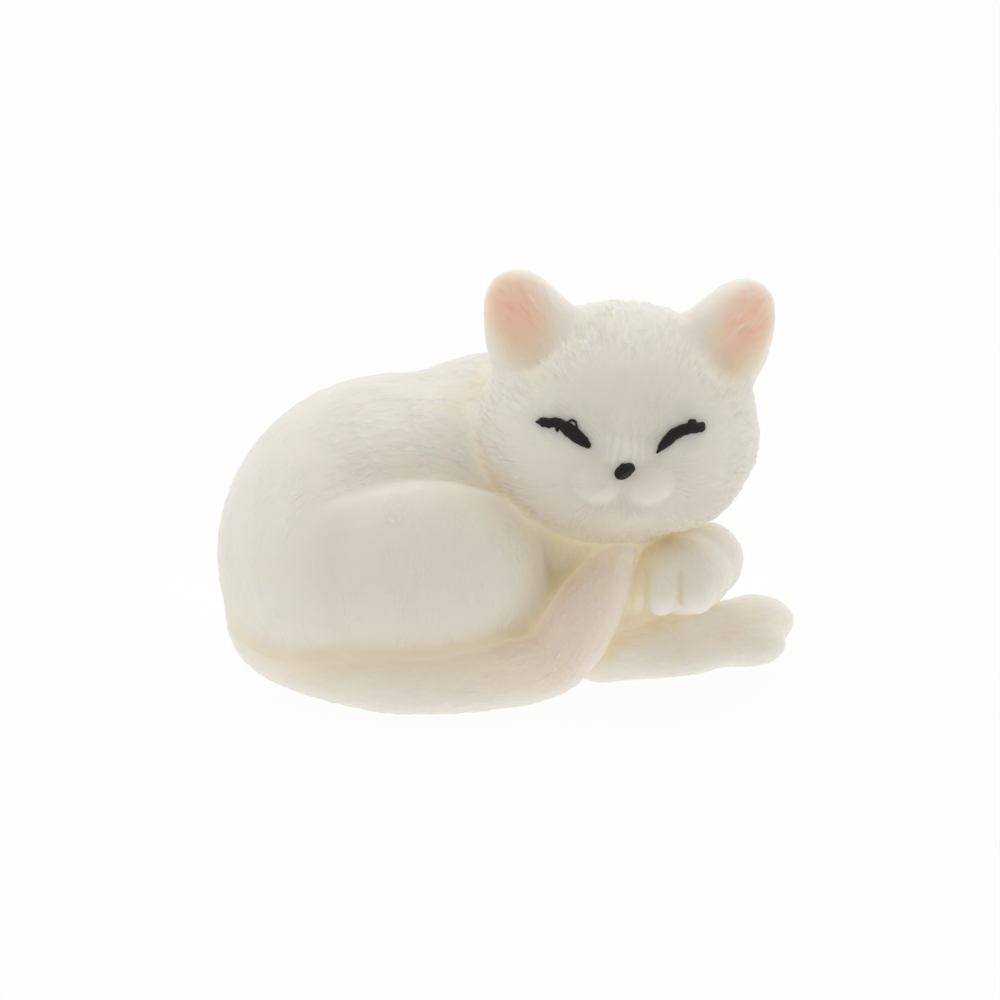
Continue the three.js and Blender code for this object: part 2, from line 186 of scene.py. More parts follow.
def bodyParts(points):
    torso = egg(points, torsoCentre, body["torsoSize"])
    haunch = egg(points, haunchCentre, body["haunchSize"])
    chest = melt(egg(points, chestCentre, body["chestSize"]),
                 egg(points, neckCentre, body["neckSize"]), body["neckSoftness"])
    for shift, size in body["fillings"]:
        chest = melt(chest, egg(points, chestCentre + shift, size), body["fillingSoftness"])
    return torso, haunch, chest


def bodyField(points):
    torso, haunch, chest = bodyParts(points)
    atRump, atKnee = body["haunchSoftness"]
    ahead = (points[:, 0] - haunchCentre[0]) / (body["haunchSize"][0] / 2)
    softness = atRump + (atKnee - atRump) * easeIn(ahead, *body["foldStart"])
    aside = np.abs(torso - haunch) * np.where(torso < haunch, *body["foldSides"])
    groove = body["foldDepth"] * np.exp(-aside ** 2) * easeIn(ahead, -1, 0)
    return melt(melt(torso, haunch, softness) + groove, chest, body["chestSoftness"])


# Head and ears, in the head's own frame: the face looks along -Y
head = {
    "size": (22.6, 18.4, 19.8),
    "shift": (-0.08, 0, 0),
    "roll": 3.2,
    "turn": 2,
    "cheeks": ((0.3, -0.4, -2), (22.4, 14.6, 14.6)),
    "jowl": ((5, -1.5, -5.2), (9.4, 9, 7.2)),  # a tuft under the cheek on the paws' side
    "pads": ((1.95, -7.66, -2.72), (4.8, 4.65, 4.5)),
    "padSoftness": 0.5,
    "bridge": ((0, -6.5, 0), (3.2, 6.4, 7)),
    "chin": ((0.2, -5.8, -5.6), (5, 4.4, 3.4)),
    "softness": 1.4,
    "grooves": (0.72, -1.2, 2.6),  # width, lowest and highest place of the lines down the bridge
    "grooveDepth": 0.07,
    "smudges": [(-5.5, 2.7), (-2.5, 0), (4.8, 3.2), (2.4, 1.1), (5.5, 0.9)],  # thumbed spots of paint
    "smudgeSize": 1.1,
    # spots and eyes are grey paint; grooves, face and chin are painted shade
    "smudgeAndShadeShare": {"spots": 0.16, "eyes": 0.22, "grooves": 0.1, "face": 0.04, "chin": 0.22},
    # painted shade in warm yellow under the chin and in the creases
    "warmShade": {"chin": 0.25, "crowd": 0.6},
    "noseRise": -1.4,  # the place below the nose, where the coat parts
    "bareFace": (3, 11),  # from the nose: where the fur starts, and where it is whole
    "furDepth": 0.14,
    "earFur": 0.55,
    "step": 0.32,
}
ear = {
    "place": (7.7, -0.3, 6.6),
    "shift": 0.35,
    "splay": 27,
    "turn": 12,
    "root": (8.6, 4.8, 8.6),
    "tip": (4.6, 3, 4.6),
    "reach": 4.2,  # from the middle of the root to the middle of the tip
    "leafSoftness": 3,
    "cup": ((0.2, -3.1, 2.9), (5.6, 2.6, 7)),
    "cupSoftness": 1.6,
    "rootSoftness": 1.4,  # of the fillet between ear and head
    "blush": {-1: (-0.3, 3.9), 1: (0.4, 3.3)},  # across and up, of the pink inside the ears
    "blushSize": (3.5, 4.5),  # half sizes of the pink
    "blushFade": (0.3, 1.1),  # where it starts to fade and where it ends, as shares of those
    "peachDrop": 2.2,  # how much lower the peach lies
    "peachShare": 0.6,
}
headCentre = seat("head", head["size"], (0, 1, 1), head["shift"])
headTurn = turned(0, head["roll"], head["turn"])
earTurns = {side: turned(0, side * ear["splay"], side * ear["turn"]) for side in (-1, 1)}


def inHead(points):
    return (points - headCentre) @ headTurn


def inEar(local, side):
    place = np.array(ear["place"]) * (side, 1, 1) + (ear["shift"], 0, 0)
    return (local - place) @ earTurns[side]


def mirrored(place, side):
    return np.array(place) * (side, 1, 1)


def faceField(local):
    fillet = head["softness"]
    face = melt(egg(local, (0, 0, 0), head["size"]), egg(local, *head["cheeks"]), fillet * 2)
    for form in ("jowl", "chin", "bridge"):
        face = melt(face, egg(local, *head[form]), fillet)
    place, size = head["pads"]
    for side in (-1, 1):
        face = melt(face, egg(local, mirrored(place, side), size), head["padSoftness"])
    return face


def leafField(spot):
    # a broad root and a narrow round tip, seen in the ear's own frame
    tip = upward * ear["reach"]
    return melt(egg(spot, (0, 0, 0), ear["root"]), egg(spot, tip, ear["tip"]), ear["leafSoftness"])


def headField(points):
    local = inHead(points)
    whole = faceField(local)
    for side in (-1, 1):
        spot = inEar(local, side)
        whole = melt(whole, leafField(spot), ear["rootSoftness"])
        whole = carve(whole, egg(spot, *ear["cup"]), ear["cupSoftness"])
    return whole


# Tail: round the rump and the front, then up against the chest
tail = {
    "rise": 2.4,
    "rootRise": 4.2,
    "radius": 2.75,
    "rootRadius": 3.6,
    "tipRadius": 1.3,
    "footRise": 3.2,
    "tuck": (3.6, 0.1),  # how far its line lies inside the torso's outline, at the side and the front
    "shortcut": 1.25,
    "angles": (130, 270),
    "ringStations": 8,
    "rootInset": 0.3,
    "rootRun": (0.1, 0.6),  # share of the ring over which the root's thickness goes
    "shift": 1.2,
    "frontRun": 11.2,
    "footBack": 1.8,
    "corner": (0.55, 0.2, 0.3, 0),  # how far the station before the foot has gone there
    "standingStations": 5,
    "tipProud": 2.2,
    "tipBelow": 1.6,
    "standing": (0.88, 1, 1.24, 2.3),  # above 1 the standing end gains its X, Y, Z or thinness late
    "swell": 0.4,  # of the standing end's radius, halfway up
    "blush": 0.26,
    # painted shade in warm yellow where the tail lies against other castings
    "blushRun": (0.5, 0.85),  # share of the length where the pink comes in
    "warmShade": 0.3,
    "furDepth": 0.06,
    "hairsAndHighlights": 0.5,  # how much its fine lines show
    "step": 0.3,
}


def tailStations():
    length, depth, _ = body["torsoSize"]
    ringX = length / 2 - tail["tuck"][0] + tail["shift"]
    ringY = depth / 2 - tail["tuck"][1]
    cornered = lambda value: math.copysign(abs(value) ** tail["shortcut"], value)
    stations = []
    firstAngle, lastAngle = tail["angles"]
    for share in np.linspace(0, 1, tail["ringStations"]):
        angle = math.radians(firstAngle + (lastAngle - firstAngle) * share)
        swell = 1 - float(easeIn(share, *tail["rootRun"]))
        out = 1 - tail["rootInset"] * swell * swell
        stations.append((tail["shift"] + out * ringX * cornered(math.cos(angle)),
                         out * ringY * cornered(math.sin(angle)),
                         tail["rise"] + (tail["rootRise"] - tail["rise"]) * swell,
                         tail["radius"] + (tail["rootRadius"] - tail["radius"]) * swell))
    foot = np.array((tail["shift"] + tail["frontRun"], tail["footBack"] - ringY,
                     tail["footRise"], tail["radius"]))
    front = np.array(stations[-1])
    stations.append(front + (foot - front) * tail["corner"])
    tip = np.array((headCentre[0],
                    chestCentre[1] - body["chestSize"][1] / 2 - tail["tipProud"],
                    headCentre[2] - head["size"][2] / 2 - tail["tipBelow"],
                    tail["tipRadius"]))
    for share in np.linspace(0, 1, tail["standingStations"]):
        swell = tail["swell"] * math.sin(math.pi * share)
        stations.append(foot + (tip - foot) * share ** np.array(tail["standing"]) + (0, 0, 0, swell))
    return np.array(stations)


def smoothLine(stations, pieces=4):
    # a curve through the stations
    padded = np.vstack((2 * stations[0] - stations[1], stations, 2 * stations[-1] - stations[-2]))
    line = []
    for a, b, c, d in zip(padded, padded[1:], padded[2:], padded[3:]):
        for share in np.arange(pieces) / pieces:
            line.append(0.5 * (2 * b + (c - a) * share + (2 * a - 5 * b + 4 * c - d) * share ** 2
                               + (3 * b - a - 3 * c + d) * share ** 3))
    return np.array(line + [stations[-1]])


tailLine = smoothLine(tailStations())


def alongTail(points, batch=4000):
    # the distance to the skin, and the share of the length
    if len(points) > batch:
        found = [alongTail(points[first:first + batch]) for first in range(0, len(points), batch)]
        return tuple(np.concatenate(column) for column in zip(*found))
    starts, radii = tailLine[:-1, :3], tailLine[:, 3]
    axes = tailLine[1:, :3] - starts
    squares = np.einsum("ij,ij->i", axes, axes)
    reach = points @ axes.T - np.einsum("ij,ij->i", starts, axes)
    along = np.clip(reach / squares, 0, 1)
    away = (points ** 2).sum(1)[:, None] - 2 * points @ starts.T + (starts ** 2).sum(1)
    away = np.sqrt(np.clip(away - 2 * along * reach + along ** 2 * squares, 0, None))
    gaps = away - radii[:-1] - (radii[1:] - radii[:-1]) * along
    nearest = gaps.argmin(1)
    rows = np.arange(len(points))
    share = (nearest + along[rows, nearest]) / len(axes)
    return gaps[rows, nearest], share


def tailField(points):
    return alongTail(points)[0]


# Front legs: one lies along the floor, the other is folded on it
arm = {
    "rise": 2.8,
    "start": (2.6, -9.2),
    "reach": (13, 4.2),
    "radii": (3.3, 2.6),
    "toes": [((-0.5, -2, -0.7), (6.4, 4, 3.7)), ((0.35, 1.1, 0.4), (6.4, 4.2, 4.2))],
    "fringe": ((-1.5, -1.2, -0.9), (12, 6, 4)),
    "creases": [],  # none, unlike the paw's: these toes part by their shapes
    "softness": 1.2,
    "furDepth": 0.06,
    "hairsAndHighlights": 0.4,
    "step": 0.24,
}
paw = {
    "shift": (9.4, -9.2, -1.5),
    "palm": (8.1, 7, 6.4),
    "toes": [((-3.9, -1.7, -0.4), (1.9, 3.2, 3.6)), ((-2.02, -2.4, -0.8), (3.1, 3.7, 3.8)),
             ((0.9, -2.2, -0.7), (3.4, 3.7, 3.8))],
    "toeSoftness": 0.25,
    "creases": [((-3.2, -2.9, 1.2), (-3.05, -3.5, -2)), ((-0.5, -3.4, 1.4), (-0.45, -3.6, -2.2))],
    "elbow": ((1.85, 3, 0.2), 6.6),
    "knuckles": ((-2, -1, 0.7), 5.2),
    "forearm": (3.2, 2.1),
    "softness": 0.8,
    "furDepth": 0.05,
    "hairsAndHighlights": 0.3,
    "step": 0.22,
}
armStart = np.array((chestCentre[0] + arm["start"][0], chestCentre[1] + arm["start"][1], arm["rise"]))
armEnd = armStart + (*arm["reach"], 0)
pawCentre = chestCentre + paw["shift"]


def armField(points):
    middle = (armStart + armEnd) / 2
    whole = limb(points, armStart, armEnd, *arm["radii"])
    place, size = arm["fringe"]
    whole = melt(whole, egg(points, middle + place, size), arm["softness"])
    for shift, size in arm["toes"]:
        whole = melt(whole, egg(points, armEnd + shift, size), arm["softness"])
    return whole


def pawField(points):
    whole = egg(points, pawCentre, paw["palm"])
    for shift, size in paw["toes"]:
        whole = melt(whole, egg(points, pawCentre + shift, size), paw["toeSoftness"])
    for place, size in (paw["elbow"], paw["knuckles"]):
        whole = melt(whole, egg(points, pawCentre + place, (size, size, size)), paw["softness"])
    shoulder = np.array((chestCentre[0], chestCentre[1], pawCentre[2]))
    reach = limb(points, pawCentre, (pawCentre + shoulder) / 2, *paw["forearm"])
    return melt(whole, reach, paw["softness"])


fields = {"body": bodyField, "head": headField, "tail": tailField, "paw": pawField, "arm": armField}
fillets = {frozenset(pair): value for pair, value in {
    ("body", "head"): 2.6,
    ("body", "tail"): 1.7,
    ("body", "paw"): 1.4,
    ("body", "arm"): 1.6,
    ("head", "tail"): 0.6,
    ("head", "paw"): 0.8,
    ("tail", "arm"): 1.2,
    ("tail", "paw"): 0.4,
    ("paw", "arm"): 1.6,
}.items()}
dive = {"slope": 0.5, "reach": 1.2}  # how a casting slips under its neighbours, out of sight
floorRound = 0.7  # of the edge round the flat underside


def castingField(name, points):
    # one casting's share of the whole skin, with the fillets towards its neighbours
    own = fields[name](points)
    joined = own
    others = np.full(len(points), np.inf)
    for neighbour, field in fields.items():
        if neighbour == name:
            continue
        theirs = field(points)
        others = np.minimum(others, theirs)
        joined = melt(joined, theirs, fillets.get(frozenset((name, neighbour)), 0.3))
    skin = joined + dive["slope"] * np.clip(own - others, 0, None)
    skin = np.maximum(skin, own - dive["reach"])
    return carve(skin, points[:, 2], floorRound)


# Skins: a field becomes a mesh of quads
def sampled(field, low, high, step, block=4):
    # the field on a grid, worked out finely only near the skin
    counts = np.ceil((high - low) / step / block).astype(int) * block
    axes = [low[axis] + np.arange(counts[axis]) * step for axis in range(3)]
    rough = np.stack(np.meshgrid(*(axis[::block] for axis in axes), indexing="ij"), -1)
    coarse = field(rough.reshape(-1, 3)).reshape(rough.shape[:3])
    values = coarse.repeat(block, 0).repeat(block, 1).repeat(block, 2)
    near = np.argwhere(np.abs(values) < 2.2 * block * step)
    values[tuple(near.T)] = field(low + near * step)
    return values


def netOver(field, low, high, step):
    # one point in each cell that the skin crosses, and one quad round each crossed edge
    low = np.array(low, float)
    values = sampled(field, low, np.array(high, float), step)
    strides = np.array((values.shape[1] * values.shape[2], values.shape[2], 1))
    spots, cells, rings = [], [], []
    for axis in range(3):
        u, v = (axis + 1) % 3, (axis + 2) % 3
        here = np.moveaxis(values, axis, 0)
        crossed = np.argwhere(np.moveaxis((here[:-1] < 0) != (here[1:] < 0), 0, axis))
        inner = (crossed[:, u] > 0) & (crossed[:, v] > 0)
        crossed = crossed[inner]
        onward = crossed.copy()
        onward[:, axis] += 1
        start, end = values[tuple(crossed.T)], values[tuple(onward.T)]
        spot = crossed.astype(float)
        spot[:, axis] += start / (start - end)
        home = crossed @ strides
        ring = np.stack((home, home - strides[u], home - strides[u] - strides[v], home - strides[v]), 1)
        ring[start > 0] = ring[start > 0][:, ::-1]
        rings.append(ring)
        for column in range(4):
            spots.append(spot)
            cells.append(ring[:, column])
    spots, cells, rings = np.vstack(spots), np.concatenate(cells), np.vstack(rings)
    used, which = np.unique(cells, return_inverse=True)
    number = np.bincount(which)
    points = np.stack([np.bincount(which, spots[:, axis]) / number for axis in range(3)], 1)
    return low + points * step, np.searchsorted(used, rings)


def quartered(points, quads):
    edges = np.sort(np.stack((quads, np.roll(quads, -1, 1)), -1).reshape(-1, 2), 1)
    keys, which = np.unique(edges[:, 0] * len(points) + edges[:, 1], return_inverse=True)
    middles = (points[keys // len(points)] + points[keys % len(points)]) / 2
    centres = points[quads].mean(1)
    onEdge = len(points) + which.reshape(-1, 4)
    inMiddle = len(points) + len(keys) + np.arange(len(quads))
    finer = [np.stack((quads[:, k], onEdge[:, k], inMiddle, onEdge[:, k - 1]), 1) for k in range(4)]
    return np.vstack((points, middles, centres)), np.vstack(finer)


def normalsOf(points, quads):
    a, b, c, d = (points[quads[:, k]] for k in range(4))
    faces = np.cross(c - a, d - b)
    corners = quads.ravel()
    sums = [np.bincount(corners, faces[:, axis].repeat(4), len(points)) for axis in range(3)]
    normals = np.stack(sums, 1)
    return normals / (np.linalg.norm(normals, axis=1, keepdims=True) + 1e-12)


def settled(points, quads, field, rounds=3):
    # moves each point along its normal until it lies on the skin
    probe = 0.02
    for _ in range(rounds):
        normals = normalsOf(points, quads)
        here = field(points)
        slope = (field(points + normals * probe) - here) / probe
        slope = np.where(slope > 0.3, slope, 1)
        points = points - normals * np.clip(here / slope, -0.4, 0.4)[:, None]
    return points


def skinOf(name, step):
    low, high = castingBox(name)
    field = lambda points: castingField(name, points)
    points, quads = netOver(field, low, high, step)
    points, quads = quartered(points, quads)
    points = settled(points, quads, field)
    print(name, "skin:", len(points), "points")
    return points, quads


castingNodes = {
    "body": ("torso", "haunch", "chest"),
    "head": ("head", "ear_left", "ear_right"),
    "tail": ("tail",),
    "paw": ("forepaw_upper",),
    "arm": ("foreleg_lower",),
}


def castingBox(name, margin=2.5):
    boxes = [nodeBox(node) for node in castingNodes[name]]
    low = np.min([box[0] for box in boxes], 0) - margin
    high = np.max([box[1] for box in boxes], 0) + margin
    return low, high


# Fur: streaks that follow the lie of the coat, and short marks cut over them
fur = {
    "streakWidth": 0.36,
    "streakLength": 1.5,
    "markLength": (0.8, 1.8),
    "markHalfWidth": 0.2,
    "sunkMarks": 0.6,  # share of scratches, the others are raised hairs
    "raisedHeight": 0.8,  # of a hair, against a scratch's depth
    "marksPerSquare": 1.5,  # marks on a square millimetre
    "markSwing": 16,  # how far a mark may turn from the lie of the coat, in degrees
    "swellSize": 2.2,  # of the slow ups and downs under the marks
    "parts": (0.35, 0.65, 0.4),  # height of streaks, marks and swells
    "hairHighlight": (0.36, 1.3),  # width and length of the fine lines in the material, lightened as a painted highlight, and of the clefts, darkened as painted shade
    "cleftShade": (0.45, 1.6),
}
latticeSide = 48
lattice = np.random.default_rng(11).random((latticeSide,) * 3) * 2 - 1


def noiseAt(points, cell):
    spots = points / cell
    base = np.floor(spots).astype(int)
    part = spots - base
    part = part * part * (3 - 2 * part)
    total = np.zeros(len(points))
    for corner in itertools.product((0, 1), repeat=3):
        weight = np.prod(np.where(corner, part, 1 - part), axis=1)
        x, y, z = ((base + corner) % latticeSide).T
        total += weight * lattice[x, y, z]
    return total


def laidAlong(flow, normals):
    flow = flow - normals * np.sum(flow * normals, axis=1, keepdims=True)
    return flow / (np.linalg.norm(flow, axis=1, keepdims=True) + 1e-9)


def streaks(points, flow, width, length):
    shares = np.linspace(-0.5, 0.5, 9)
    total = sum(noiseAt(points + flow * (share * length), width) for share in shares)
    return total / math.sqrt(len(shares))


def cutMarks(points, flow, normals, density, area, draw):
    # each mark is a shallow scratch or a thin raised hair, deepest where it starts
    tree = KDTree(len(points))
    for index, point in enumerate(points):
        tree.insert(point, index)
    tree.balance()
    total = int(area * fur["marksPerSquare"])
    chosen = draw.choice(len(points), total, p=density / density.sum())
    low, high = fur["markLength"]
    lengths = draw.uniform(low, high, total)
    swings = np.radians(draw.normal(0, fur["markSwing"], total))
    signs = np.where(draw.random(total) < fur["sunkMarks"], -1.0, fur["raisedHeight"])
    sideways = np.cross(normals[chosen], flow[chosen])
    aims = flow[chosen] * np.cos(swings)[:, None] + sideways * np.sin(swings)[:, None]
    near, owner = [], []
    for mark, (centre, length) in enumerate(zip(points[chosen], lengths)):
        found = [index for _, index, _ in tree.find_range(centre, length / 2)]
        near.extend(found)
        owner.extend([mark] * len(found))
    near, owner = np.array(near), np.array(owner)
    away = points[near] - points[chosen[owner]]
    along = np.sum(away * aims[owner], axis=1)
    across = np.linalg.norm(away - along[:, None] * aims[owner], axis=1)
    share = along / lengths[owner] + 0.5
    profile = np.clip(1 - (across / fur["markHalfWidth"]) ** 2, 0, None)
    taper = np.clip(share * (1 - share) * 4, 0, 1) * (1.2 - 0.6 * share)
    height = np.zeros(len(points))
    np.add.at(height, near, signs[owner] * profile * taper)
    return np.clip(height, -1.4, 1.4)


def areaOf(points, quads):
    a, b, c, d = (points[quads[:, k]] for k in range(4))
    return float(np.linalg.norm(np.cross(c - a, d - b), axis=1).sum() / 2)


def combed(points, quads, flow, strength, depth, seed):
    # the skin raised and lowered by the fur, and the height of its marks
    normals = normalsOf(points, quads)
    flow = laidAlong(flow, normals)
    wide = streaks(points, flow, fur["streakWidth"], fur["streakLength"])
    swells = noiseAt(points + 7, fur["swellSize"])
    marks = cutMarks(points, flow, normals, strength + 0.02, areaOf(points, quads),
                     np.random.default_rng(seed))
    byStreaks, byMarks, bySwells = fur["parts"]
    height = strength * depth * (byStreaks * wide + byMarks * marks + bySwells * swells)
    moved = points + normals * height[:, None]
    moved[:, 2] = np.maximum(moved[:, 2], 0)
    return moved, marks


creaseReach = 2.4  # how far from another casting a crease is felt, and so how far its painted shade reaches


def nearOthers(name, points):
    # how crowded a place is, 1 or more in a crease, and the least gap to another casting
    closeness = np.zeros(len(points))
    least = np.full(len(points), np.inf)
    for neighbour, field in fields.items():
        if neighbour != name:
            gap = np.clip(field(points), 0, None)
            closeness += np.exp(-gap / creaseReach)
            least = np.minimum(least, gap)
    return np.clip(closeness, 0, 1.5), least


def makePiece(name, points, quads, paintAndShade=None, coat=None):
    mesh = bpy.data.meshes.new(name)
    mesh.vertices.add(len(points))
    mesh.vertices.foreach_set("co", (points * millimetre).ravel())
    mesh.loops.add(quads.size)
    mesh.loops.foreach_set("vertex_index", quads.ravel().astype(np.int32))
    mesh.polygons.add(len(quads))
    mesh.polygons.foreach_set("loop_start", np.arange(0, quads.size, 4, dtype=np.int32))
    mesh.update(calc_edges=True)
    mesh.validate()
    mesh.shade_smooth()
    if paintAndShade is not None:
        layer = mesh.color_attributes.new("paintAndShade", "FLOAT_COLOR", "POINT")
        layer.data.foreach_set("color", np.clip(paintAndShade, 0, 1).astype(np.float32).ravel())
        layer = mesh.attributes.new("coat", "FLOAT_VECTOR", "POINT")
        layer.data.foreach_set("vector", coat.astype(np.float32).ravel())
    piece = bpy.data.objects.new(name, mesh)
    bpy.context.collection.objects.link(piece)
    return piece


# Materials
finish = {
    "resin": (0.90, 0.862, 0.785),
    "cloud": (0.93, 0.90, 0.835),
    "cloudShare": 0.35,
    # the warm yellow of painted shade in creases and under the chin, also used for the ears' peach
    # paint
    "warmShadeAndPeach": (0.90, 0.795, 0.56),
    "blush": (0.99, 0.65, 0.52),
    # grey for smudged paint, and for painted shade on the face and in the legs' creases
    "smudgeAndShade": (0.34, 0.33, 0.32),
    # a painted highlight on the raised hairs, and painted shade in the sunk clefts
    "hairHighlight": (0.97, 0.955, 0.92),
    "hairHighlightShare": 0.6,
    "cleftShade": (0.74, 0.68, 0.57),
    "cleftShadeShare": 0.1,
    "hairHeight": 0.11,  # also of the clefts' depth
    "scatter": (1.0, 0.85, 0.66),
    "scatterDepth": 2.8,
    "glow": (0.92, 0.85, 0.70),  # painted light: the colour the hidden insides of the castings glow with where they touch, standing in for light carried through the resin
    "glowStrength": 0.76,
    "roughness": (0.3, 0.44),
    "sheen": 0.2,
    "enamel": (0.006, 0.004, 0.003),
    "enamelWorn": (0.014, 0.009, 0.007),
    "enamelRoughness": (0.2, 0.42),
    "enamelGloss": 0.2,
}


def newMaterial(name):
    material = bpy.data.materials.new(name)
    material.use_nodes = True
    shader = material.node_tree.nodes["Principled BSDF"]
    return material, material.node_tree, shader


def mixed(tree, factor, first, second, mode="MIX"):
    node = tree.nodes.new("ShaderNodeMix")
    node.data_type = "RGBA"
    node.blend_type = mode
    for socket, value in (("Factor", factor), ("A", first), ("B", second)):
        target = next(item for item in node.inputs if item.name == socket and item.enabled)
        if isinstance(value, bpy.types.NodeSocket):
            tree.links.new(value, target)
        elif isinstance(value, tuple):
            target.default_value = (*value, 1)
        else:
            target.default_value = value
    return next(item for item in node.outputs if item.enabled)


def noiseNode(tree, scale, detail=3):
    spot = tree.nodes.new("ShaderNodeTexCoord")
    node = tree.nodes.new("ShaderNodeTexNoise")
    node.inputs["Scale"].default_value = scale
    node.inputs["Detail"].default_value = detail
    node.inputs["Roughness"].default_value = 0.55
    tree.links.new(spot.outputs["Object"], node.inputs["Vector"])
    return node.outputs["Fac"]


def ranged(tree, value, low, high, newLow, newHigh):
    node = tree.nodes.new("ShaderNodeMapRange")
    sockets = ("From Min", "From Max", "To Min", "To Max")
    for socket, number in zip(sockets, (low, high, newLow, newHigh)):
        node.inputs[socket].default_value = number
    tree.links.new(value, node.inputs["Value"])
    return node.outputs["Result"]


def bumpFrom(tree, height, strength, distance, under=None):
    node = tree.nodes.new("ShaderNodeBump")
    node.inputs["Strength"].default_value = strength
    node.inputs["Distance"].default_value = distance * millimetre
    tree.links.new(height, node.inputs["Height"])
    if under is not None:
        tree.links.new(under, node.inputs["Normal"])
    return node.outputs["Normal"]


def attributeNode(tree, name):
    node = tree.nodes.new("ShaderNodeAttribute")
    node.attribute_name = name
    return node


def computed(tree, first, second, operation="MULTIPLY"):
    node = tree.nodes.new("ShaderNodeMath")
    node.operation = operation
    for socket, value in zip(node.inputs, (first, second)):
        if isinstance(value, bpy.types.NodeSocket):
            tree.links.new(value, socket)
        else:
            socket.default_value = value
    return node.outputs["Value"]


def blended(tree, share, first, second, output):
    # two shaders mixed, for the output of a material or of the surround
    node = tree.nodes.new("ShaderNodeMixShader")
    tree.links.new(share, node.inputs["Fac"])
    tree.links.new(first, node.inputs[1])
    tree.links.new(second, node.inputs[2])
    tree.links.new(node.outputs["Shader"], tree.nodes[output].inputs["Surface"])


def furStrokes(tree, width, length, seed):
    # thin lines drawn out along the lie of the coat, from 0 between them to 1 on them
    place = tree.nodes.new("ShaderNodeMapping")
    place.inputs["Scale"].default_value = (1 / width, 1 / width, 1 / length)
    place.inputs["Location"].default_value = (seed, seed, seed)
    tree.links.new(attributeNode(tree, "coat").outputs["Vector"], place.inputs["Vector"])
    noise = tree.nodes.new("ShaderNodeTexNoise")
    noise.inputs["Scale"].default_value = 1
    noise.inputs["Detail"].default_value = 1
    tree.links.new(place.outputs["Vector"], noise.inputs["Vector"])
    return ranged(tree, noise.outputs["Fac"], 0.52, 0.7, 0, 1)


def resinColour(tree, paintAndShade, hairsAndHighlights, cleftsAndShade, inside):
    # clouded resin with the paint and painted shade on it, then the hairs paler as a painted highlight
    # and the clefts darker as painted shade, and black from inside
    channels = tree.nodes.new("ShaderNodeSeparateColor")
    tree.links.new(paintAndShade.outputs["Color"], channels.inputs["Color"])
    blush, warmShade, smudgeAndShade = (channels.outputs[name] for name in ("Red", "Green", "Blue"))
    cloud = ranged(tree, noiseNode(tree, 180), 0.3, 0.7, 0, finish["cloudShare"])
    base = mixed(tree, cloud, finish["resin"], finish["cloud"])
    base = mixed(tree, warmShade, base, finish["warmShadeAndPeach"])
    base = mixed(tree, blush, base, finish["blush"])
    base = mixed(tree, smudgeAndShade, base, finish["smudgeAndShade"])
    base = mixed(tree, computed(tree, hairsAndHighlights, finish["hairHighlightShare"]), base, finish["hairHighlight"])
    base = mixed(tree, computed(tree, cleftsAndShade, finish["cleftShadeShare"]), base, finish["cleftShade"])
    return mixed(tree, inside, base, (0.0, 0.0, 0.0))


def makeResin():
    material, tree, shader = newMaterial("milky resin")
    paintAndShade = attributeNode(tree, "paintAndShade")
    patches = ranged(tree, noiseNode(tree, 320, 1), 0.42, 0.62, 0.2, 1)
    strength = computed(tree, paintAndShade.outputs["Alpha"], patches)
    hairsAndHighlights = computed(tree, furStrokes(tree, *fur["hairHighlight"], 0), strength)
    cleftsAndShade = computed(tree, furStrokes(tree, *fur["cleftShade"], 40), strength)
    inside = tree.nodes.new("ShaderNodeNewGeometry").outputs["Backfacing"]
    base = resinColour(tree, paintAndShade, hairsAndHighlights, cleftsAndShade, inside)
    tree.links.new(base, shader.inputs["Base Color"])
    worn = ranged(tree, noiseNode(tree, 900), 0.3, 0.7, *finish["roughness"])
    tree.links.new(worn, shader.inputs["Roughness"])
    grain = bumpFrom(tree, noiseNode(tree, 4200, 2), 0.25, 0.05)
    raised = bumpFrom(tree, hairsAndHighlights, 1, finish["hairHeight"], grain)
    sunk = bumpFrom(tree, cleftsAndShade, 1, -finish["hairHeight"], raised)
    tree.links.new(sunk, shader.inputs["Normal"])
    shader.inputs["Subsurface Weight"].default_value = 1
    shader.inputs["Subsurface Radius"].default_value = finish["scatter"]
    shader.inputs["Subsurface Scale"].default_value = finish["scatterDepth"] * millimetre
    shader.inputs["IOR"].default_value = 1.45
    shader.inputs["Sheen Weight"].default_value = finish["sheen"]
    shader.inputs["Sheen Roughness"].default_value = 0.5
    # painted light: the hidden insides glow where a casting lies under its neighbour, standing in for
    # light carried through the resin
    glow = ranged(tree, inside, 0, 1, 0, finish["glowStrength"])
    tree.links.new(glow, shader.inputs["Emission Strength"])
    shader.inputs["Emission Color"].default_value = (*finish["glow"], 1)
    material.cycles.emission_sampling = "NONE"
    return material


def makeEnamel():
    material, tree, shader = newMaterial("black enamel")
    tone = ranged(tree, noiseNode(tree, 700), 0.3, 0.7, 0, 1)
    base = mixed(tree, tone, finish["enamel"], finish["enamelWorn"])
    tree.links.new(base, shader.inputs["Base Color"])
    worn = ranged(tree, noiseNode(tree, 1500), 0.3, 0.7, *finish["enamelRoughness"])
    tree.links.new(worn, shader.inputs["Roughness"])
    shader.inputs["Specular IOR Level"].default_value = finish["enamelGloss"]
    skin = bumpFrom(tree, noiseNode(tree, 2600, 3), 0.4, 0.06)
    tree.links.new(skin, shader.inputs["Normal"])
    return material


resin = makeResin()
enamel = makeEnamel()
print("materials made")


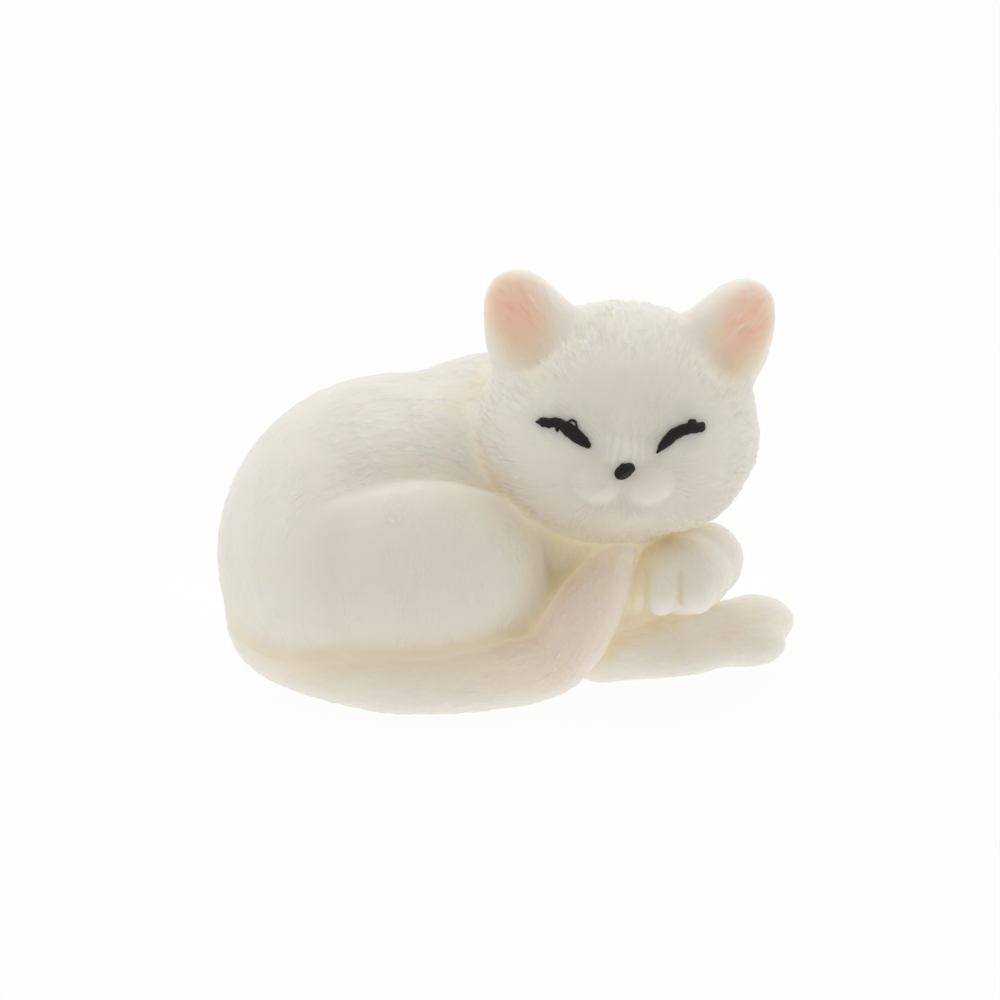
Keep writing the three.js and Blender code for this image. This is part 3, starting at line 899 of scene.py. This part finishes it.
# Eyes and nose: strokes of enamel, as (across, up, half width) from the head's middle
strokes = {
    "eyeStrokeLeft": {
        "node": "eye_left",
        "runs": [
            [(-7.4, 1.6, 0.06), (-6.85, 1.73, 0.38), (-6.28, 1.79, 0.38), (-5.72, 1.95, 0.38),
             (-5.23, 1.87, 0.37)],
            [(-5.2, 1.76, 0.42), (-4.98, 1.66, 0.55), (-4.56, 1.4, 0.6), (-4.05, 1.1, 0.58),
             (-3.54, 0.75, 0.48), (-3.16, 0.46, 0.3)],
            [(-4.8, 2.17, 0.09), (-4.52, 2.35, 0.09), (-4.19, 2.23, 0.09), (-4.1, 1.8, 0.12)],
            [(-5.68, 1.58, 0.2), (-5.67, 1.29, 0.14)],
            [(-6.35, 1.6, 0.14), (-6.35, 1.45, 0.1)],
        ],
        "proud": 0.3,
    },
    "eyeStrokeRight": {
        "node": "eye_right",
        "runs": [
            [(2.64, 0.11, 0.06), (3.0, 0.57, 0.31), (3.48, 1.1, 0.48), (4.04, 1.61, 0.53),
             (4.71, 1.85, 0.48)],
            [(4.71, 1.85, 0.48), (5.3, 1.98, 0.46), (5.9, 1.96, 0.46), (6.29, 1.93, 0.38),
             (6.4, 1.64, 0.1)],
            [(5.32, 2.46, 0.2), (5.66, 2.44, 0.2)],
            [(6.3, 2.1, 0.07), (6.36, 2.26, 0.06), (6.54, 2.26, 0.06), (6.6, 2.1, 0.06),
             (6.48, 1.98, 0.07)],
        ],
        "proud": 0.3,
    },
    "noseDrop": {
        "node": "nose",
        "runs": [
            [(-0.26, -1.72, 0.56), (0.0, -1.4, 0.68), (0.3, -1.2, 0.56)],
            [(-0.12, -1.02, 0.34), (0.1, -1.0, 0.28), (0.38, -0.94, 0.34)],
        ],
        "proud": 0.5,
    },
}


strokeSkin = {
    "step": 0.06,
    "ragged": (0.05, 0.3),  # how far and how finely the brush's edge wanders
    "lift": 0.04,
    "sunk": 0.25,  # how deep the enamel reaches into the face
}


def strokeOutline(across, up, runs):
    flat = np.stack((across, np.zeros_like(across), up), 1)
    outline = np.full(len(flat), np.inf)
    for run in runs:
        for (x, z, half), (nextX, nextZ, nextHalf) in zip(run, run[1:]):
            outline = np.minimum(outline, limb(flat, (x, 0, z), (nextX, 0, nextZ), half, nextHalf))
    return outline


def strokeField(points, runs, proud):
    local = inHead(points)
    outline = strokeOutline(local[:, 0], local[:, 2], runs)
    wander, fineness = strokeSkin["ragged"]
    outline += wander * noiseAt(points, fineness)
    widest = max(half for run in runs for _, _, half in run)
    dome = proud * np.sqrt(np.clip(-outline / widest, 0, 1))
    skin = faceField(local)
    above = np.maximum(skin - dome - strokeSkin["lift"], outline)
    return np.maximum(above, -skin - strokeSkin["sunk"])


def makeStroke(name, spec):
    field = lambda points: strokeField(points, spec["runs"], spec["proud"])
    low, high = nodeBox(spec["node"])
    points, quads = netOver(field, low - 1.2, high + 1.2, strokeSkin["step"])
    points, quads = quartered(points, quads)
    points = settled(points, quads, field, 1)
    piece = makePiece(name, points, quads)
    piece.data.materials.append(enamel)
    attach(piece, "root")
    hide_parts(spec["node"])
    print(name, "laid on:", len(points), "points")


# Castings: skin, fur, paint and painted shade
def finishCasting(name, piece):
    piece.data.materials.append(resin)
    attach(piece, "root")
    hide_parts(*castingNodes[name])


def paintAndShadeOf(blush, warmShade, smudgeAndShade, hairsHighlightAndShade):
    # the four shares that the resin reads at each point: pink paint, warm painted shade, grey paint
    # with painted shade, and the hairs with their painted highlight and shade
    return np.stack(np.broadcast_arrays(blush, warmShade, smudgeAndShade, hairsHighlightAndShade), 1)


def circling(points, centre):
    # the way the coat lies on the body: from the neck over the back, down the rump and forward again
    away = points - centre
    flow = np.stack((-away[:, 2], np.zeros(len(points)), away[:, 0]), 1)
    return flow / (np.linalg.norm(flow, axis=1, keepdims=True) + 2)


def bodyCoat(points, onHaunch):
    # the lie of the coat, then the two ways across it and the way along it
    away = points - haunchCentre
    turn = np.abs(np.arctan2(away[:, 0], away[:, 2])) * body["haunchSize"][0] / 2
    coat = np.stack((away[:, 1], np.hypot(away[:, 0], away[:, 2]), turn), 1)
    coat = np.where(onHaunch > 0.5, away, coat)
    fall = away * (0.025, 0, 0) + (0, 0, -1)
    return circling(points, haunchCentre) * (1 - onHaunch) + fall * onHaunch, coat


def bodyWarmShade(points, crowd, gap):
    # painted shade in warm yellow: in the creases below, in the fold above the haunch and on the chest
    torso, haunch, chest = bodyParts(points)
    share = body["warmShade"]
    inFront = easeIn(-points[:, 1], -1, 4)
    fold = np.exp(-np.abs(torso - haunch) / 1.2) * easeIn(points[:, 0], -9, 4) * inFront
    onChest = easeIn(np.minimum(torso, haunch) - chest, 0, 2.5) * inFront
    creases = share["crowd"] * crowd + share["valley"] * np.exp(-gap)
    low = 1 - 0.85 * easeIn(points[:, 2], 13, 19)
    return np.clip(creases * low + share["fold"] * fold + share["chest"] * onChest, 0, 0.9)


def makeBody():
    points, quads = skinOf("body", body["step"])
    torso, haunch, _ = bodyParts(points)
    crowd, gap = nearOthers("body", points)
    onHaunch = easeIn(torso - haunch, *body["coatTurn"])
    lie, coat = bodyCoat(points, onHaunch[:, None])
    atRump, atHead = body["furShare"]
    sparse = atRump + (atHead - atRump) * easeIn(points[:, 0], -12, 2)
    strength = easeIn(gap, 0.1, 1.6) * (1 - body["haunchShare"] * onHaunch) * sparse
    warmShade = bodyWarmShade(points, crowd, gap)
    points, _ = combed(points, quads, lie, strength, body["furDepth"], 21)
    hairsHighlightAndShade = strength * easeIn(np.abs(onHaunch - 0.5), 0.25, 0.5)
    paintAndShade = paintAndShadeOf(0, warmShade, 0, hairsHighlightAndShade)
    finishCasting("body", makePiece("bodyCasting", points, quads, paintAndShade, coat))


def eyeDistance(local):
    least = np.full(len(local), np.inf)
    for name in ("eyeStrokeLeft", "eyeStrokeRight"):
        outline = strokeOutline(local[:, 0], local[:, 2], strokes[name]["runs"])
        least = np.minimum(least, np.where(local[:, 1] < 0, outline, np.inf))
    return least


def paintedOval(spot, middle):
    # paint on the ear's front, thinner towards its edge
    across, up = (spot[:, 0] - middle[0]), (spot[:, 2] - middle[1])
    oval = np.hypot(across / ear["blushSize"][0], up / ear["blushSize"][1])
    return (1 - easeIn(oval, *ear["blushFade"])) * easeIn(-spot[:, 1], 0, 0.7)


def earPaint(local):
    # the pink inside the ears, and the peach that it fades into further down
    blush = np.zeros(len(local))
    peach = np.zeros(len(local))
    for side, (across, up) in ear["blush"].items():
        spot = inEar(local, side)
        pink = paintedOval(spot, (across, up)) * (0.6 + 0.4 * easeIn(spot[:, 2], 0, 4))
        lower = paintedOval(spot, (across, up - ear["peachDrop"]))
        blush = np.maximum(blush, pink)
        peach = np.maximum(peach, ear["peachShare"] * lower)
    return blush, peach


def earFur(local, lie, strength):
    # on the ears the coat runs up and outward, and it is equally strong all over
    for side in (-1, 1):
        onEar = 1 - easeIn(leafField(inEar(local, side)), 0.2, 1.2)
        diagonal = (np.array((0.45 * side, 0, 1.0)) @ earTurns[side].T) @ headTurn.T
        lie = lie * (1 - onEar[:, None]) + diagonal * 8 * onEar[:, None]
        strength = np.where(onEar > 0.5, head["earFur"], strength)
    return lie, strength


def bridgeLines(points, local, inFront):
    # shallow lines that run down the bridge of the nose
    width, low, high = head["grooves"]
    across = local[:, 0] + 0.3 * noiseAt(points, 1.4)
    lines = np.cos(across * 2 * math.pi / width) * (1 - easeIn(np.abs(across), 1.2, 2.4))
    span = easeIn(local[:, 2], low, low + 1) * (1 - easeIn(local[:, 2], high - 1, high))
    return lines * (span * inFront)


def faceSmudgeAndShade(local, below, inFront, lines):
    # grey paint round the eyes and in thumbed spots, and painted shade all over the face, deeper on its
    # lower part, and in the grooves
    share = head["smudgeAndShadeShare"]
    smudgeAndShade = (share["face"] + share["chin"] * below) * inFront
    besideEyes = np.exp(-np.clip(eyeDistance(local), 0, None) / 0.5)
    smudgeAndShade = np.maximum(smudgeAndShade, share["eyes"] * besideEyes)
    for x, z in head["smudges"]:
        away = np.hypot(local[:, 0] - x, local[:, 2] - z) / head["smudgeSize"]
        smudgeAndShade = np.maximum(smudgeAndShade, share["spots"] * np.exp(-away ** 2) * inFront)
    return np.maximum(smudgeAndShade, -share["grooves"] * lines)


def makeHead():
    points, quads = skinOf("head", head["step"])
    local = inHead(points)
    crowd, gap = nearOthers("head", points)
    away = local - (0, -head["size"][1] / 2, head["noseRise"])
    reach = np.linalg.norm(away, axis=1)
    spoke = np.arctan2(away[:, 0], away[:, 2])
    ring = head["size"][0] / 2.4
    coat = np.stack((np.sin(spoke) * ring, np.cos(spoke) * ring, reach), 1)
    strength = easeIn(reach, *head["bareFace"]) * easeIn(gap, 0.1, 1.4)
    strength *= 0.25 + 0.75 * easeIn(reach, 6, 12)
    lie, strength = earFur(local, away @ headTurn.T, strength)
    blush, peach = earPaint(local)
    below = easeIn(-local[:, 2], -1, 7)
    inFront = easeIn(-local[:, 1], -2, 6)
    share = head["warmShade"]
    # painted shade in warm yellow under the chin and in the creases; the ears' peach paint goes in the
    # same channel
    warmShade = below * (share["chin"] + share["crowd"] * crowd) + peach
    lines = bridgeLines(points, local, inFront)
    # grey paint round the eyes and in spots, and painted shade over the face and in the grooves
    smudgeAndShade = faceSmudgeAndShade(local, below, inFront, lines)
    points = points + normalsOf(points, quads) * (head["grooveDepth"] * lines)[:, None]
    hairsHighlightAndShade = np.maximum(strength, 0.45 * easeIn(reach, 1.2, 3))
    points, marks = combed(points, quads, lie, strength, head["furDepth"], 22)
    blush = blush * (0.85 - 0.2 * marks)
    paintAndShade = paintAndShadeOf(blush, np.clip(warmShade, 0, 0.8), smudgeAndShade, hairsHighlightAndShade)
    finishCasting("head", makePiece("headCasting", points, quads, paintAndShade, coat))


def valuesAlong(stops, share):
    # the values at this share of the tail's length, between those at its stops
    place = share * (len(stops) - 1)
    return np.stack([np.interp(place, np.arange(len(stops)), column) for column in stops.T], 1)


def tailCoat(points, share):
    # the two ways across the tail and the way along it, then its direction
    line = tailLine[:, :3]
    heading = valuesAlong(np.gradient(line, axis=0), share)
    rising = easeIn(share, 0.55, 0.8)[:, None]
    side = np.cross(heading, upward * (1 - rising) - np.array((1, 0, 0)) * rising)
    side /= np.linalg.norm(side, axis=1, keepdims=True)
    other = np.cross(heading, side) / np.linalg.norm(heading, axis=1, keepdims=True)
    away = points - valuesAlong(line, share)
    run = np.cumsum(np.linalg.norm(np.diff(line, axis=0, prepend=line[:1]), axis=1))
    along = valuesAlong(run[:, None], share)[:, 0]
    return np.stack((np.sum(away * side, 1), np.sum(away * other, 1), along), 1), heading


def makeTail():
    points, quads = skinOf("tail", tail["step"])
    _, share = alongTail(points)
    coat, heading = tailCoat(points, share)
    crowd, gap = nearOthers("tail", points)
    strength = easeIn(gap, 0.1, 1.2)
    facingDown = easeIn(-normalsOf(points, quads)[:, 2], 0, 0.6)
    blush = tail["blush"] * easeIn(share, *tail["blushRun"]) * (1 - 0.8 * facingDown)
    # painted shade in warm yellow where other castings crowd the tail, less on its underside and none
    # near the tip
    warmShade = tail["warmShade"] * crowd * (1 - easeIn(share, 0.6, 0.9)) * (1 - 0.7 * facingDown)
    points, _ = combed(points, quads, heading, strength, tail["furDepth"], 23)
    paintAndShade = paintAndShadeOf(blush, np.clip(warmShade, 0, 0.8), 0, strength * tail["hairsAndHighlights"])
    finishCasting("tail", makePiece("tailCasting", points, quads, paintAndShade, coat))


# Painted shade in the seams and creases of both front legs
legCreaseShade = {
    "warmShade": {"crowd": 0.05, "seam": 0.65, "crease": 0.3},
    "creaseWidth": 0.32,
    "creaseShade": 0.16,
}


def makeLeg(name, pieceName, spec, middle, lie, seed):
    points, quads = skinOf(name, spec["step"])
    crowd, gap = nearOthers(name, points)
    flow = np.tile(np.array(lie, float), (len(points), 1))
    along = Vector(lie).to_track_quat("Z", "Y").to_matrix()
    coat = points @ np.array(along)
    strength = easeIn(gap, 0.1, 1.0)
    points, _ = combed(points, quads, flow, strength, spec["furDepth"], seed)
    # painted shade: warm yellow in crowded seams and creases, and grey along the toes' creases
    crease = np.zeros(len(points))
    for start, end in spec["creases"]:
        away = limb(points, middle + start, middle + end, 0, 0)
        crease = np.maximum(crease, np.exp(-(away / legCreaseShade["creaseWidth"]) ** 2))
    share = legCreaseShade["warmShade"]
    warmShade = share["crowd"] * crowd + share["seam"] * easeIn(crowd, 0.9, 1.5)
    warmShade += share["crease"] * crease
    paintAndShade = paintAndShadeOf(0, warmShade, legCreaseShade["creaseShade"] * crease, strength * spec["hairsAndHighlights"])
    finishCasting(name, makePiece(pieceName, points, quads, paintAndShade, coat))


makeBody()
makeHead()
makeTail()
makeLeg("paw", "pawCasting", paw, pawCentre, (0.3, -0.4, -1), 24)
makeLeg("arm", "forelegCasting", arm, (armStart + armEnd) / 2, (*arm["reach"], 0), 25)
for strokeName, spec in strokes.items():
    makeStroke(strokeName, spec)

# Studio: a white floor, a bright surround and soft boxes, in metres
studio = {
    "floorSize": 3.0,
    "floorShare": (0.72, 0.93),  # of plain white in the floor, to the piece and to the camera
    "frontTint": (1.0, 0.95, 0.865),
    "surround": (0.31, 0.88),  # strength from the front and from behind
    "boxes": [
        {"name": "top box", "place": (-0.05, 0.03, 0.37), "size": 0.3, "power": 0.36},
        {"name": "left box", "place": (-0.35, 0.0, 0.2), "size": 0.25, "power": 0.05},
        {"name": "right box", "place": (0.35, 0.08, 0.2), "size": 0.25, "power": 0.1},
    ],
}


def makeFloor():
    half = studio["floorSize"] / 2
    mesh = bpy.data.meshes.new("floor")
    corners = [(-half, -half, 0), (half, -half, 0), (half, half, 0), (-half, half, 0)]
    mesh.from_pydata(corners, [], [(0, 1, 2, 3)])
    floor = bpy.data.objects.new("floor", mesh)
    bpy.context.collection.objects.link(floor)
    material, tree, shader = newMaterial("white floor")
    shader.inputs["Base Color"].default_value = (0.98, 0.98, 0.98, 1)
    shader.inputs["Roughness"].default_value = 0.9
    glow = tree.nodes.new("ShaderNodeEmission")
    rays = tree.nodes.new("ShaderNodeLightPath")
    share = ranged(tree, rays.outputs["Is Camera Ray"], 0, 1, *studio["floorShare"])
    blended(tree, share, shader.outputs["BSDF"], glow.outputs["Emission"], "Material Output")
    mesh.materials.append(material)


def makeSurround():
    world = bpy.data.worlds.new("surround")
    world.use_nodes = True
    bpy.context.scene.world = world
    tree = world.node_tree
    light = tree.nodes["Background"]
    white = tree.nodes.new("ShaderNodeBackground")
    spot = tree.nodes.new("ShaderNodeTexCoord")
    depth = tree.nodes.new("ShaderNodeSeparateXYZ")
    tree.links.new(spot.outputs["Generated"], depth.inputs["Vector"])
    level = ranged(tree, depth.outputs["Y"], -1, 0.6, *studio["surround"])
    tree.links.new(level, light.inputs["Strength"])
    behind = ranged(tree, depth.outputs["Y"], -0.8, 0.4, 0, 1)
    tint = mixed(tree, behind, studio["frontTint"], (1.0, 1.0, 1.0))
    tree.links.new(tint, light.inputs["Color"])
    white.inputs["Color"].default_value = (1, 1, 1, 1)
    rays = tree.nodes.new("ShaderNodeLightPath")
    seen = rays.outputs["Is Camera Ray"]
    for ray in ("Is Glossy Ray", "Is Transmission Ray"):
        seen = computed(tree, seen, rays.outputs[ray], "MAXIMUM")
    blended(tree, seen, light.outputs["Background"], white.outputs["Background"], "World Output")


def makeBox(spec):
    data = bpy.data.lights.new(spec["name"], "AREA")
    data.shape = "DISK"
    data.size = spec["size"]
    data.energy = spec["power"]
    lamp = bpy.data.objects.new(spec["name"], data)
    bpy.context.collection.objects.link(lamp)
    middle = (cadBox[0] + cadBox[1]) / 2
    lamp.location = middle + Vector(spec["place"])
    lamp.rotation_euler = (middle - lamp.location).to_track_quat("-Z", "Y").to_euler()


makeFloor()
makeSurround()
for box in studio["boxes"]:
    makeBox(box)
bpy.context.scene.view_settings.view_transform = "Standard"
print("studio lit")
